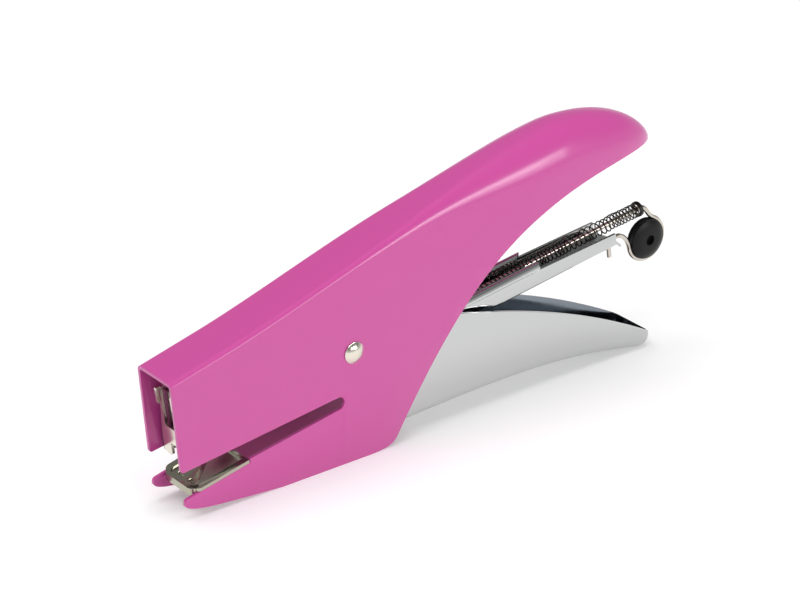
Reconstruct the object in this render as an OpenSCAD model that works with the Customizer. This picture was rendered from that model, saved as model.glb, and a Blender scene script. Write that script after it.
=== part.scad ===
// Plier stapler. A pressed steel shell carries the anvil in its lower jaw and ends in a domed grip.
// A trough-shaped handle turns on one rivet inside the shell and drives the blade through the magazine,
// which turns on the same rivet. A rod with a finger knob pulls the pusher and its spring out of the rail.
// Lengths are in millimetres. X runs from the jaws to the grips, Z up from the table, Y across.
// Most shapes are drawn from the pivot axis: in_pivot() is level, in_rail() also tilts with the magazine.

/* [Shell] */
// Sheet thickness of the shell
shell_sheet = 1.0; // [0.8:0.1:1.4]
// Outside width of the shell at its front edge
jaw_w = 15; // [15:0.2:18]
// Outside width of the shell where the grip is widest
grip_w = 21.2; // [20.4:0.2:25]
// Height of the pivot axis above the table
pivot_h = 33.7; // [32.5:0.1:36]
// Distance from the pivot axis to the front edge of the shell's crown
crown_reach = 59.2; // [58.8:0.2:64]
// Distance from the pivot axis to the tip of the grip
grip_reach = 114.5; // [112:0.5:122]
// Height of the crown over the pivot axis, at the front edge
crown_h = 7.9; // [7.4:0.1:11]
// Slope of the straight stretch of the crown
crown_slope = 13.66; // [13:0.1:16]
// Height of the top of the grip over the pivot axis
grip_h = 46.3; // [42:0.2:52]
// Outside bend radius between the crown and the side walls
bend_r = 1.2; // [1.1:0.1:2]
// Depth of the domed part of the grip, from its crest to its shoulder
dome_h = 12.3; // [9:0.1:14]

/* [Jaws] */
// Distance from the pivot axis to the lower front corner of the upper jaw
jaw_reach = 57; // [56.6:0.1:60]
// Height of the gap between the jaws at their front end
jaw_gap = 6.4; // [6:0.1:8]
// Width of the slot at its closed end
slot_end_w = 3.9; // [3.2:0.1:4.6]
// Distance from the pivot axis forward to the centre of the slot's closed end
slot_end_x = 5.2; // [4.6:0.1:9]
// Distance that the anvil stays behind the front of the jaws
anvil_setback = 3; // [2:0.1:5]
// Length of the anvil
anvil_len = 18; // [14:0.5:24]
// Sheet thickness of the anvil
anvil_sheet = 0.8; // [0.6:0.05:1]
// Depth of the step in the lower jaw's edge behind the anvil
anvil_step = 1.2; // [0.8:0.1:2]
// Extra slope of the lower jaw's edge under the anvil, in degrees
anvil_dip = 2.5; // [0:0.1:4]

/* [Handle] */
// Sheet thickness of the handle
handle_sheet = 0.8; // [0.7:0.05:1]
// Outside width of the handle
handle_w = 15.3; // [15:0.05:15.5]
// Outside width of the handle near its rear end
handle_end_w = 16.7; // [15.5:0.1:17.5]
// Distance from the pivot axis to the tip of the handle
handle_reach = 112.3; // [105:0.5:120]
// Depth of the handle's floor below the pivot axis
handle_depth = 27.4; // [26:0.1:29]
// Radius of the handle's lower edges
handle_edge_r = 2.6; // [1.5:0.1:4]
// Sheet thickness of the driver arm
arm_sheet = 0.7; // [0.6:0.05:0.9]
// Outside width of the driver arm at its front end
arm_front_w = 11.2; // [10.8:0.1:11.6]

/* [Magazine] */
// Tilt of the magazine against the table
rail_tilt = 7.6; // [7:0.1:8]
// Outside width of the rail
rail_w = 10.8; // [10.4:0.1:11]
// Sheet thickness of the rail
rail_sheet = 0.8; // [0.6:0.05:0.9]
// Depth of the rail's underside below the pivot axis
rail_depth = 11.5; // [11.2:0.1:12]
// Height of the rail's side walls where their edges are rolled in
rail_h = 7.2; // [6.8:0.1:7.4]
// Height of the rail's side walls at the open rear end
rail_rear_h = 4.1; // [3.6:0.1:5]
// Distance from the pivot axis to the end of the rolled edges
rolled_reach = 71.5; // [60:0.5:80]
// Distance from the pivot axis to the rear end of the rail
rail_reach = 98.9; // [92:0.5:104]
// Width of the slot between the rolled edges
rail_slot_w = 5; // [4.8:0.1:5.6]
// Distance from the pivot axis forward to the nose plate's front face
nose_reach = 54.9; // [54.5:0.1:56]
// Thickness of the nose plate
nose_sheet = 0.8; // [0.6:0.05:1]
// Width of the nose plate
nose_w = 10.8; // [10.4:0.1:11]
// Thickness of the driver blade
blade_sheet = 0.6; // [0.5:0.05:0.8]

/* [Feeder] */
// Diameter of the feeder wire
wire_d = 1.5; // [1.3:0.1:1.6]
// Height of the feeder wire's centre line over the rail's underside
wire_h = 4.7; // [4.5:0.1:5]
// Outside diameter of the magazine spring
spring_d = 4.4; // [4.1:0.1:4.5]
// Diameter of the magazine spring's wire
spring_wire_d = 0.5; // [0.4:0.05:0.6]
// Number of turns of the magazine spring
spring_turns = 54; // [46:1:60]
// Outside diameter of the finger knob
knob_d = 12.4; // [11.5:0.1:14]
// Thickness of the finger knob
knob_t = 4.6; // [4:0.1:6]
// Depth of the finger knob's centre below the pivot axis, square to the rail
knob_depth = 17.6; // [17:0.1:19]

/* [Fits] */
// Diameter of the pivot rivet's shank
shank_d = 4; // [3.6:0.1:4.4]
// Diameter of the pivot rivet's domed heads
rivet_head_d = 6.3; // [5.8:0.1:7.4]
// Radial clearance of each running fit
running_gap = 0.05; // [0.03:0.01:0.08]
// Clearance between flat neighbours that slide past each other
side_gap = 0.15; // [0.1:0.01:0.2]
// Clearance at a loose seat
seat_gap = 0.3; // [0.2:0.05:0.4]

/* [Hidden] */
$fn = 48;

// Shell, worked out from the sizes above
widest_x = 68;                                             // where the grip is widest
flare = (grip_w - jaw_w) / 2 / (widest_x + crown_reach);   // widening of each side for each mm of length
dome_from = 10;                                            // where the crown starts to dome
dome_to = 75;                                              // where the dome is fully deep
tip_h = 32.1;                                              // height of the grip's tip over the pivot axis
tip_z = [grip_reach, tip_h + 0.2];
bend_start = [20, crown_h + (20 + crown_reach) * tan(crown_slope)];
crest = [85, grip_h];

// Jaws
throat_top = [-jaw_reach, -rail_depth - jaw_reach * sin(rail_tilt) + 0.5];
slot_r = slot_end_w / 2;
slot_end = [-slot_end_x, throat_top[1] + (jaw_reach - slot_end_x) * 0.122 - slot_r];
jaw_tip_x = -jaw_reach + 0.8;
arm_top_z = throat_top[1] - jaw_gap;                       // top of the lower jaw at its front end
arm_slope = (slot_end[1] - slot_r - arm_top_z) / (jaw_reach - slot_end_x);
anvil_x = jaw_tip_x + anvil_setback;
anvil_end = anvil_x + anvil_len;
anvil_rise = 1;                                            // height of the anvil's rim over its seat

// Stack of widths at the pivot, from the outside in
handle_in = handle_w / 2 - handle_sheet;
arm_in = handle_in - arm_sheet;
bracket_sheet = arm_in - side_gap - rail_w / 2;
bush_r = shank_d / 2 + 1;
ear_r = 2 * bush_r;

// Magazine, in the tilted frame
nose_rivet_r = 0.8;
rail_z = -rail_depth;
wire_z = rail_z + wire_h;
roll_rise = 1.1;                                           // rise of the rolled edges' arch
roll_z = rail_z + rail_h - rail_sheet / 2 - roll_rise;
blade_x = -nose_reach + nose_sheet + 0.9;                  // front face of the driver blade
arm_front_x = blade_x + blade_sheet;
arm_z = 9;                                                 // top of the driver arm
driver_pin_r = 1.2;
driver_pin_x = arm_front_x + driver_pin_r + 1.2;
driver_pin_z = 5.4;
pusher_x = blade_x + blade_sheet + 2;                      // front face of the staple pusher
pusher_len = 8;
cap_len = 1.6;
spring_r = (spring_d - spring_wire_d) / 2;
spring_front = pusher_x + pusher_len;
stop_t = 1.4;
knob_x = rail_reach + 15.7;
stop_x = knob_x - 1.6;                                     // front face of the spring stop
knob_z = -knob_depth;
wire_r = wire_d / 2;
groove_r = knob_d / 2 - 0.35;                              // bottom of the knob's groove
loop_r = groove_r + wire_r;                                // centre line of the wire loop

// The row's origin lies under the middle of the whole length
rear_end = (knob_x + loop_r + wire_r) * cos(rail_tilt) + knob_depth * sin(rail_tilt);
origin_x = (crown_reach - rear_end) / 2;

// ---------- helpers ----------

// Moves children from the pivot axis to their place over the table
module in_pivot() translate([origin_x, 0, pivot_h]) children();

// Tilts children with the magazine about the pivot axis
module in_rail() in_pivot() rotate([0, -rail_tilt, 0]) children();

// Extrudes a side view, drawn in X and Z, by w across the middle
module side(w) rotate([90, 0, 0]) linear_extrude(w, center = true) children();

// Extrudes a cross section, drawn in Y and Z, from x0 to x1
module along(x0, x1) translate([x0, 0, 0]) rotate([90, 0, 90]) linear_extrude(x1 - x0) children();

// A cylinder across the part at [x, z]
module across(r, w, x = 0, z = 0) translate([x, 0, z]) rotate([90, 0, 0]) cylinder(r = r, h = w, center = true);

// Smooth step from 0 at a to 1 at b
function ease(x, a, b) = let(u = min(1, max(0, (x - a) / (b - a)))) u * u * (3 - 2 * u);

// Points on a cubic curve through p and s, with handles q and r
function curve(p, q, r, s, n) = [for (i = [0:n]) let(t = i / n, k = 1 - t)
    k * k * k * p + 3 * k * k * t * q + 3 * k * t * t * r + t * t * t * s];

// Points on an arc about c, from angle a to angle b
function arc(c, r, a, b, n) = [for (i = [0:n]) let(t = a + (b - a) * i / n) c + r * [cos(t), sin(t)]];

// Unit direction of a path at point i
function heading(path, i) = let(a = path[max(0, i - 1)], b = path[min(len(path) - 1, i + 1)]) (b - a) / norm(b - a);

// Path moved sideways by d, to its left
function beside(path, d) = [for (i = [0:len(path) - 1]) let(h = heading(path, i)) path[i] + d * [-h[1], h[0]]];

// The list in reverse order
function back(list) = [for (i = [len(list) - 1:-1:0]) list[i]];

// Outline of a bent sheet of thickness t whose middle follows the path
function ribbon(path, t) = concat(beside(path, t / 2), back(beside(path, -t / 2)));

// Adds the mirror image of a half section, on the other side of the Z axis
function both(half) = concat(half, [for (p = back(half)) [-p[0], p[1]]]);

// A closed solid through rings with the same number of points, each clockwise as seen from the last one
module loft(rings) {
    n = len(rings[0]);
    m = len(rings);
    points = [for (r = rings) each r];
    sides = [for (j = [0:m - 2]) for (i = [0:n - 1]) let(a = j * n + i, b = j * n + (i + 1) % n)
        each [[a, b, a + n], [b, b + n, a + n]]];
    polyhedron(points, concat(sides, [[for (i = [n - 1:-1:0]) i]], [[for (i = [0:n - 1]) (m - 1) * n + i]]));
}

// A round bar of radius r whose middle follows a path in space, with n sides
module bar(path, r, n = 8) {
    last = len(path) - 1;
    tangent = [for (i = [0:last]) let(d = path[min(last, i + 1)] - path[max(0, i - 1)]) d / norm(d)];
    across = [for (t = tangent) let(s = cross(t, abs(t[1]) > 0.9 ? [0, 0, 1] : [0, 1, 0])) s / norm(s)];
    loft([for (i = [0:last]) let(u = across[i], v = cross(u, tangent[i]))
        [for (k = [0:n - 1]) path[i] + r * (cos(360 * k / n) * u + sin(360 * k / n) * v)]]);
}

// ---------- shell ----------

// Half of the outside width of the shell at x, less t
function half_w(x, t) = x < widest_x
    ? jaw_w / 2 + flare * (x + crown_reach) - t
    : (grip_w / 2 - t) * sqrt(max(0.002, 1 - pow(max(0, x - widest_x) / (grip_reach - widest_x - t), 2.4)));

// The crown's line over the middle of the shell: straight, then a hump that falls to the tip
crown = concat(
    [for (x = [-66, -25, 5]) [x, crown_h + (x + crown_reach) * tan(crown_slope)]],
    curve(bend_start, [38, bend_start[1] + 4.4], [58, grip_h], crest, 8),
    [for (i = [1:7]) curve(crest, [99, grip_h], [grip_reach - 4.5, grip_h - 3.8], tip_z, 7)[i]]
);

// Height of the shoulder, where the side wall ends and the dome begins
function dome_depth(x, z) = x < dome_to
    ? bend_r + (dome_h - bend_r) * ease(x, dome_from, dome_to)
    : max(0.4, z - (tip_h - 0.2) - 1.4 * (grip_reach - x) / (grip_reach - dome_to));

// Share of the half width that the rounded shoulder takes
function dome_width(x, w) = min(0.94 * w, bend_r + (0.94 * w - bend_r) * ease(x, dome_from, dome_to));

// One ring of the shell round [x, z] on the crown, t inside the outer skin and open below
function shell_ring(x, z, t, low) = let(
        w = half_w(x, t),
        rz = max(0.25, dome_depth(x, z) - t),
        ry = min(w - 0.05, max(0.2, dome_width(x, w + t) - t)),
        half = concat([[-w, low]], [for (i = [0:6]) let(a = 15 * i)
            [-(w - ry) - ry * cos(a), z - rz + rz * sin(a)]])
    ) [for (p = both(half)) [x, p[0], p[1]]];

module shell_solid(t, low) {
    line = beside(crown, -t);
    loft([for (p = line) shell_ring(p[0], p[1], t, low)]);
}

// Upper edge of the lower jaw, and the lower edge under the anvil that the anvil lies on
function arm_top(x) = arm_top_z + arm_slope * (x - jaw_tip_x);
function seat_z(x) = arm_top(anvil_end) - anvil_step + (arm_slope + tan(anvil_dip)) * (x - anvil_end);

// Side view of the shell: front edge, slot between the jaws, lower jaw, belly, heel and the grip's edge
module shell_side() polygon(concat(
    [[-crown_reach - 2.2, 40], [-crown_reach, crown_h]],
    arc(throat_top + [0.8, 0.8], 0.8, 180, 270, 3),
    arc(slot_end, slot_r, 95, -82, 10),
    [for (z = [arm_top(anvil_end), seat_z(anvil_end)]) [anvil_end + 0.3, z]],
    arc([jaw_tip_x + 1.4, seat_z(jaw_tip_x) - 1.1], 1.3, 102, 165, 4),
    [for (i = [1:9]) curve([jaw_tip_x, seat_z(jaw_tip_x) - 1.4], [jaw_tip_x + 0.6, -pivot_h + 2.2],
        [-44, -pivot_h + 1.7], [-24, -pivot_h], 9)[i]],
    curve([6, -pivot_h], [12.4, -pivot_h + 0.3], [14, -pivot_h + 1.2], [15.1, -pivot_h + 3.4], 5),
    [for (i = [1:14]) curve([15.1, -pivot_h + 3.4], [35, 2.3], [56, tip_h - 2.3], [104, tip_h - 0.3], 14)[i]],
    [[grip_reach + 5, tip_h], [grip_reach + 5, grip_h + 20], [-crown_reach, grip_h + 20]]
));

module body_shell() color("hotpink") in_pivot() difference() {
    intersection() {
        difference() {
            shell_solid(0, -pivot_h - 3);
            shell_solid(shell_sheet, -pivot_h - 6);
        }
        side(grip_w + 10) shell_side();
    }
    across(shank_d / 2, grip_w + 10);
}

// ---------- anvil ----------

// Dished plate: a rim that lies on the lower jaw's edges, a sunk floor with two pockets that curl the
// staple's legs, and a short flange turned down at the front
module anvil_plate() {
    dish = 0.8;                                            // depth of the floor below the rim
    rim = 1.1;                                             // width of the rim inside the jaw
    front_r = 2.2;
    // plan between the jaw's walls, widened by t, with rounded front corners
    module plan(x0, x1, t) {
        w = half_w(x0, shell_sheet) + t;
        polygon(concat(arc([x0 + front_r, front_r - w], front_r, 180, 270, 5),
            [[x1, -half_w(x1, shell_sheet) - t], [x1, half_w(x1, shell_sheet) + t]],
            arc([x0 + front_r, w - front_r], front_r, 90, 180, 5)));
    }
    module slab(x0, x1, top, low, t) intersection() {
        translate([0, 0, -pivot_h]) linear_extrude(pivot_h) plan(x0, x1, t);
        side(jaw_w + 6) polygon([[x0, seat_z(x0) + top], [x1, seat_z(x1) + top],
            [x1, seat_z(x1) + low], [x0, seat_z(x0) + low]]);
    }
    color("dimgray") in_pivot() difference() {
        union() {
            slab(anvil_x, anvil_end, anvil_rise, -1, -side_gap);
            slab(anvil_x + 0.8, anvil_end, anvil_rise, 0.02, shell_sheet);
        }
        slab(anvil_x + rim, anvil_end - 1, anvil_rise + 1, anvil_rise - dish, -rim);
        slab(anvil_x + anvil_sheet, anvil_end + 1, anvil_rise - dish - anvil_sheet, -4, -anvil_sheet - side_gap);
        for (s = [-1, 1]) translate([anvil_x + 3.4, s * 2.6, seat_z(anvil_x + 3.4) + anvil_rise - dish + 0.9])
            rotate([90, 0, 0]) cylinder(r = 1.3, h = 3, center = true);
    }
}

// ---------- pivot ----------

// Solid rivet through both walls, with a low dome on each side
module pivot_rivet() {
    seat = half_w(0, 0) + flare * rivet_head_d / 2;
    dome_r = rivet_head_d / 2;
    dome_rise = 1.3;
    ball_r = (dome_r * dome_r + dome_rise * dome_rise) / 2 / dome_rise;
    color("silver") in_pivot() {
        across(shank_d / 2, 2 * seat);
        for (s = [-1, 1]) rotate([90 * s, 0, 0]) translate([0, 0, seat]) rotate_extrude(convexity = 2)
            polygon(concat([[0, 0]], arc([0, dome_rise - ball_r], ball_r,
                90 - asin(dome_r / ball_r), 90, 8)));
    }
}

// Spacer tube on the rivet, between the ears of the driver arm
module pivot_bush() color("gray") in_pivot() difference() {
    across(bush_r, 2 * arm_in);
    across(shank_d / 2 + running_gap, 2 * arm_in + 1);
}

// ---------- handle ----------

handle_corner_r = 2.6;                                     // rounding of the handle's end in plan
flare_x = 25;                                              // where the handle starts to widen
handle_flare = (handle_end_w - handle_w) / 2 / (handle_reach - flare_x);

function handle_half_w(x, t) = let(
        w = handle_w / 2 + handle_flare * max(0, x - flare_x) - t,
        r = handle_corner_r - t,
        d = max(0, x - handle_reach + handle_corner_r)
    ) w - r + sqrt(max(0.01, r * r - d * d));

// The handle's underside over the middle: slightly arched, down to the table, then up into the end wall
handle_foot = [handle_reach - 5.3, -pivot_h + 0.5];
handle_floor = concat(
    [[-12, -handle_depth - 1.2]],
    curve([22, -handle_depth - 1.2], [58, -handle_depth + 0.2], [78, -handle_depth + 0.8], handle_foot, 12),
    [for (i = [1:7]) curve(handle_foot, handle_foot + [2.5, -0.57], [handle_reach - 0.1, -pivot_h + 0.8],
        [handle_reach, -pivot_h + 4.6], 7)[i]],
    [[handle_reach + 0.02, -pivot_h + 7]]
);

function handle_ring(x, z, t, top) = let(
        w = handle_half_w(x, t),
        r = min(w - 0.05, max(0.3, handle_edge_r - t)),
        half = concat([[-w, top]], [for (i = [0:5]) let(a = 18 * i)
            [-(w - r) - r * cos(a), z + r - r * sin(a)]])
    ) [for (p = back(both(half))) [x, p[0], p[1]]];

module handle_solid(t, top) {
    line = beside(handle_floor, t);
    loft([for (p = line) handle_ring(p[0], p[1], t, top)]);
}

// Side view of the handle: ear round the pivot, falling upper edge, sloping front
module handle_side() {
    front = [20, -handle_depth - 2.2];
    polygon(concat(
        arc([0, 0], ear_r, 200, 90, 8),
        [for (i = [0:14]) curve([12, 5.4], [50, -2.5], [78, -10],
            [handle_reach - 1.5, -pivot_h + 5.4], 14)[i]],
        [[handle_reach + 1, -pivot_h + 4.2], [handle_reach + 1, -pivot_h - 4], [24, -pivot_h - 4], front]
    ));
}

module lower_handle() color("gainsboro") in_pivot() difference() {
    intersection() {
        difference() {
            handle_solid(0, 14);
            handle_solid(handle_sheet, 18);
        }
        side(handle_w + 4) handle_side();
    }
    across(shank_d / 2 + running_gap, handle_w + 4);
    rotate([0, -rail_tilt, 0]) across(arm_rivet_r, handle_w + 4, arm_rivet_x, arm_rivet_z);
}

// ---------- driver arm ----------

arm_rivet_r = 1;
arm_rivet_x = 8.5;
arm_rivet_z = -1.5;
arm_rear_x = 13;
arm_narrow_x = -22;                                        // where the arm has narrowed to its front width
arm_wide_x = -9;                                           // where the arm starts to narrow

// Plan of the arm, t inside its outer faces
function arm_plan(t, x0, x1) = [for (s = [-1, 1]) for (p = s < 0
        ? [[x0, arm_front_w / 2], [arm_narrow_x, arm_front_w / 2], [arm_wide_x, handle_in], [x1, handle_in]]
        : [[x1, handle_in], [arm_wide_x, handle_in], [arm_narrow_x, arm_front_w / 2], [x0, arm_front_w / 2]])
    [p[0], s * (p[1] - t)]];

// Downward channel from the spring seat over the pivot to the blade
module driver_arm() color("silver") in_rail() difference() {
    intersection() {
        difference() {
            linear_extrude(40, center = true) polygon(arm_plan(0, arm_front_x, arm_rear_x));
            translate([0, 0, -40 + arm_z - arm_sheet]) linear_extrude(40)
                polygon(arm_plan(arm_sheet, arm_front_x - 1, arm_rear_x + 1));
        }
        side(handle_w + 4) polygon(concat(
            [[arm_front_x, arm_z], [arm_front_x, 3], [arm_narrow_x, 1.5]],
            arc([0, 0], ear_r, 215, 300, 6),
            [[arm_rear_x, -4], [arm_rear_x, arm_z]]
        ));
    }
    across(shank_d / 2 + running_gap, handle_w + 4);
    across(arm_rivet_r, handle_w + 4, arm_rivet_x, arm_rivet_z);
    across(driver_pin_r, handle_w + 4, driver_pin_x, driver_pin_z);
}

// Two short rivets that fasten the arm's ears to the handle's walls
module arm_rivets() color("silver") in_rail() for (s = [-1, 1])
    translate([arm_rivet_x, s * (handle_w / 2 + arm_in) / 2, arm_rivet_z]) rotate([90, 0, 0])
        cylinder(r = arm_rivet_r, h = handle_w / 2 - arm_in, center = true);

// Cross pin that carries the blade, headed flush in the arm's walls
module driver_pin() color("gray") in_rail() across(driver_pin_r, arm_front_w, driver_pin_x, driver_pin_z);

// Flat blade with two straps that reach back and hook over the cross pin
module driver_blade() {
    blade_w = rail_w - 2 * rail_sheet - 2 * seat_gap;
    blade_low = wire_z + 1.6;
    hook_r = driver_pin_r + running_gap;
    color("lightgray") in_rail() {
        translate([blade_x, -blade_w / 2, blade_low]) cube([blade_sheet, blade_w, 8.1 - blade_low]);
        for (s = [-1, 1]) translate([0, s * 2.6, 0]) difference() {
            union() {
                across(hook_r + blade_sheet, 1.6, driver_pin_x, driver_pin_z);
                translate([arm_front_x - 0.1, -0.8, driver_pin_z + hook_r])
                    cube([driver_pin_x - arm_front_x + 0.1, 1.6, blade_sheet]);
            }
            across(hook_r, 3, driver_pin_x, driver_pin_z);
            translate([driver_pin_x - 3, -2, driver_pin_z - 4]) cube([3, 4, 4]);
        }
    }
}

// Coil spring between the arm's rear end and the crown, which opens the handle
module return_spring() {
    coil_r = 2.6;
    coil_wire = 0.7;
    turns = 5.5;
    seat = [(arm_rear_x - 4.2) * cos(rail_tilt) - arm_z * sin(rail_tilt),
        (arm_rear_x - 4.2) * sin(rail_tilt) + arm_z * cos(rail_tilt)];
    low = seat[1] + coil_r * tan(rail_tilt) + coil_wire / 2 + 0.15;
    high = crown_h + (seat[0] - coil_r + crown_reach) * tan(crown_slope)
        - shell_sheet / cos(crown_slope) - coil_wire / 2 - 0.3;
    steps = 12;
    color("silver") in_pivot() bar([for (i = [0:turns * steps]) let(a = 360 * i / steps)
        [seat[0] + coil_r * cos(a), coil_r * sin(a), low + (high - low) * i / steps / turns]], coil_wire / 2, 6);
}

// ---------- magazine ----------

// Middle line of half the rail's section: rolled edge, side wall, bottom corner
function rail_half(rolled) = let(
        w = (rail_w - rail_sheet) / 2,
        inner = rail_slot_w / 2 + rail_sheet / 2,
        mid = (w + inner) / 2
    ) concat(
        rolled ? [for (i = [0:8]) let(a = 180 - 22.5 * i)
            [mid + (w - mid) * cos(a), roll_z + roll_rise * sin(a)]] : [],
        [[w, rolled ? roll_z - 0.6 : rail_z + rail_h]],
        arc([w - 0.6, rail_z + rail_sheet / 2 + 0.6], 0.6, 0, -90, 3)
    );

function rail_path(rolled) = both(rail_half(rolled));

// Rail: rolled-in edges at the front, plain low walls at the rear, a turned-down tongue at the end
module magazine_rail() {
    front_x = -nose_reach + nose_sheet;
    open_z = rail_z + rail_rear_h + 1;                     // top of the open walls behind the rolled edges
    color("gainsboro") in_rail() difference() {
        union() {
            along(front_x, rolled_reach) polygon(ribbon(rail_path(true), rail_sheet));
            difference() {
                along(rolled_reach - 0.01, rail_reach) polygon(ribbon(rail_path(false), rail_sheet));
                side(rail_w + 4) polygon([[rolled_reach - 1, open_z], [rail_reach + 1, rail_z + rail_rear_h],
                    [rail_reach + 1, 0], [rolled_reach - 1, 0]]);
            }
            side(3.6) polygon(ribbon(concat([[rail_reach - 0.5, rail_z + rail_sheet / 2]],
                arc([rail_reach, rail_z + rail_sheet / 2 - 3], 3, 90, 48, 4),
                [[rail_reach + 4.6, rail_z + rail_sheet / 2 - 3.7]]), rail_sheet));
        }
        // slot for the tail of the feeder wire, open at the rear
        translate([tail_x - wire_r - 0.5, tail_y - wire_r - 0.3, rail_z - 1])
            cube([10, 2 * wire_r + 0.6, tail_z - rail_z + 1]);
        // mouth through which the blade pushes the staple out
        translate([front_x - 1, -rail_w / 2 + rail_sheet, rail_z - 1])
            cube([pusher_x - front_x + 1, rail_w - 2 * rail_sheet, rail_h + 2]);
        // rounded ends of the rolled edges
        translate([rolled_reach + 1.6, 0, open_z]) cylinder(r = 4.4, h = 6);
    }
}

// Front plate: two narrow prongs whose ends fold forwards, a window, and an arch between two feet
module nose_plate() {
    prong_out = nose_w / 2 - 1.2;
    prong_in = prong_out - 1.1;                            // inner edge of the prongs
    prong_top = 0.8 * rail_depth;
    fold_r = 0.55;
    x0 = -nose_reach;
    lug_h = roll_z - rail_z - 0.7;
    color("lightgray") in_rail() {
        translate([x0, 0, 0]) rotate([90, 0, 90]) linear_extrude(nose_sheet) difference() {
            polygon(both(concat(
                [[-prong_out, prong_top], [-prong_out, prong_top - 6.7], [-nose_w / 2, rail_z + 6]],
                arc([1.6 - nose_w / 2, rail_z + 1.6], 1.6, 180, 270, 5)
            )));
            polygon(both(concat([[-prong_in, prong_top + 3]], arc([0.6 - prong_in, rail_z + 9.9], 0.6, 180, 270, 4))));
            polygon(both(concat([[2.6 - nose_w / 2, rail_z - 1]], [[2.6 - nose_w / 2, rail_z]],
                arc([2.6 - nose_w / 2, rail_z + 0.9], 0.9, -90, 0, 4),
                arc([-1.2, rail_z + 3.4], 0.7, 180, 90, 4))));
        }
        // folded ends of the prongs
        for (s = [-1, 1]) translate([0, s * (prong_out + prong_in) / 2, 0]) side(prong_out - prong_in)
            polygon(ribbon(concat([[x0 + nose_sheet / 2, prong_top - 0.4]],
                arc([x0 + nose_sheet / 2 - fold_r, prong_top], fold_r, 0, 180, 8),
                [[x0 + nose_sheet / 2 - 2 * fold_r, prong_top - 4]]), nose_sheet * 0.75));
        // side lugs that wrap round the rail
        for (s = [-1, 1]) {
            translate([x0, s > 0 ? nose_w / 2 - 0.2 : -rail_w / 2 - nose_sheet * 0.75, rail_z + 0.4])
                cube([nose_sheet, rail_w / 2 + nose_sheet * 0.75 - nose_w / 2 + 0.2, lug_h]);
            difference() {
                translate([x0, s > 0 ? rail_w / 2 : -rail_w / 2 - nose_sheet * 0.75, rail_z + 0.4])
                    cube([7, nose_sheet * 0.75, lug_h]);
                across(nose_rivet_r, rail_w + 4, x0 + 5, rail_z + 3);
            }
        }
    }
}

// Two flush rivets through the lugs and the rail's walls
module nose_rivets() color("silver") in_rail() for (s = [-1, 1])
    translate([-nose_reach + 5, s * (rail_w / 2 + nose_sheet * 0.375), rail_z + 3]) rotate([90, 0, 0])
        cylinder(r = nose_rivet_r, h = nose_sheet * 0.75, center = true);

// Saddle under the rail with two ears that turn on the bush
module pivot_bracket() {
    w = rail_w + 2 * bracket_sheet;
    color("gray") in_rail() difference() {
        side(w) polygon(concat(
            arc([0, 0], ear_r - 0.8, 150, 0, 10),
            [[1.5 * ear_r, rail_z + 2], [1.5 * ear_r, rail_z - bracket_sheet],
                [-0.4 * ear_r, rail_z - bracket_sheet], [1.6 - ear_r, rail_z + 3]]
        ));
        translate([-2 * ear_r, -rail_w / 2, rail_z]) cube([4 * ear_r, rail_w, 2 * rail_depth]);
        across(bush_r + running_gap, w + 2);
    }
}

// ---------- feeder ----------

// Middle line of the feeder wire: the rod, a bend down, round the knob, and back over the rail's floor,
// where the tail turns down through a slot beside the tongue
tail_y = -(rail_w / 2 - rail_sheet - wire_r - 0.35);
tail_x = rail_reach - 1.6;
tail_z = rail_z + rail_sheet + wire_r + 0.35;
wire_bend = concat(
    [[pusher_x + 0.3, 0, wire_z], [knob_x - 1.3, 0, wire_z]],
    [[knob_x - 0.3, 0, wire_z - 0.3], [knob_x + 0.7, 0, wire_z - 1.3], [knob_x + 1.7, 0, wire_z - 3],
        [knob_x + 2.8, 0, wire_z - 4.5]],
    [for (p = arc([knob_x, knob_z], loop_r, 48, -176, 19)) [p[0], 0, p[1]]],
    [for (i = [1:6]) curve([knob_x - loop_r, 0, knob_z - 0.5], [knob_x - loop_r - 1.2, tail_y / 4, knob_z + 3.4],
        [tail_x + 6, tail_y * 0.8, tail_z], [tail_x + 2, tail_y, tail_z], 6)[i]],
    [for (i = [0:3]) let(a = 90 + 30 * i) [tail_x + 1.2 + 1.2 * cos(a), tail_y, tail_z - 1.2 + 1.2 * sin(a)]],
    [[tail_x, tail_y, rail_z - 3.5]]
);

module feeder_rod() color("silver") in_rail() {
    along(wire_bend[0][0], wire_bend[1][0]) translate([0, wire_z]) circle(wire_r, $fn = 24);
    bar([for (i = [1:len(wire_bend) - 1]) wire_bend[i]], wire_r, 10);
}

// Peened ring that keeps the pusher on the rod
module rod_cap() color("gray") in_rail() difference() {
    along(pusher_x + 0.3, pusher_x + 0.3 + cap_len) translate([0, wire_z]) circle(wire_r + 0.5);
    along(pusher_x - 1, pusher_x + cap_len + 1) translate([0, wire_z]) circle(wire_r);
}

// Bobbin with a groove for the wire loop and a blind hole in each face
module feeder_knob() color("black") in_rail() translate([knob_x, 0, knob_z]) rotate([90, 0, 0])
    rotate_extrude($fn = 40) polygon([
        [1.5, -knob_t / 2 + 1.4], [1.5, -knob_t / 2], [knob_d / 2 - 1.9, -knob_t / 2],
        [knob_d / 2 - 0.3, -knob_t / 2 + 1.1], [knob_d / 2, -wire_r - 0.35], [knob_d / 2, -wire_r],
        [groove_r, -wire_r], [groove_r, wire_r], [knob_d / 2, wire_r], [knob_d / 2, wire_r + 0.35],
        [knob_d / 2 - 0.3, knob_t / 2 - 1.1], [knob_d / 2 - 1.9, knob_t / 2], [1.5, knob_t / 2],
        [1.5, knob_t / 2 - 1.4], [0, knob_t / 2 - 1.4], [0, -knob_t / 2 + 1.4]
    ]);

// Dark collar at the rear end of the spring
module spring_stop() color("dimgray") in_rail() difference() {
    along(stop_x - stop_t, stop_x) translate([0, wire_z]) circle(spring_d / 2 + 0.35);
    along(stop_x - stop_t - 1, stop_x + 1) translate([0, wire_z]) circle(wire_r);
}

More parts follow.
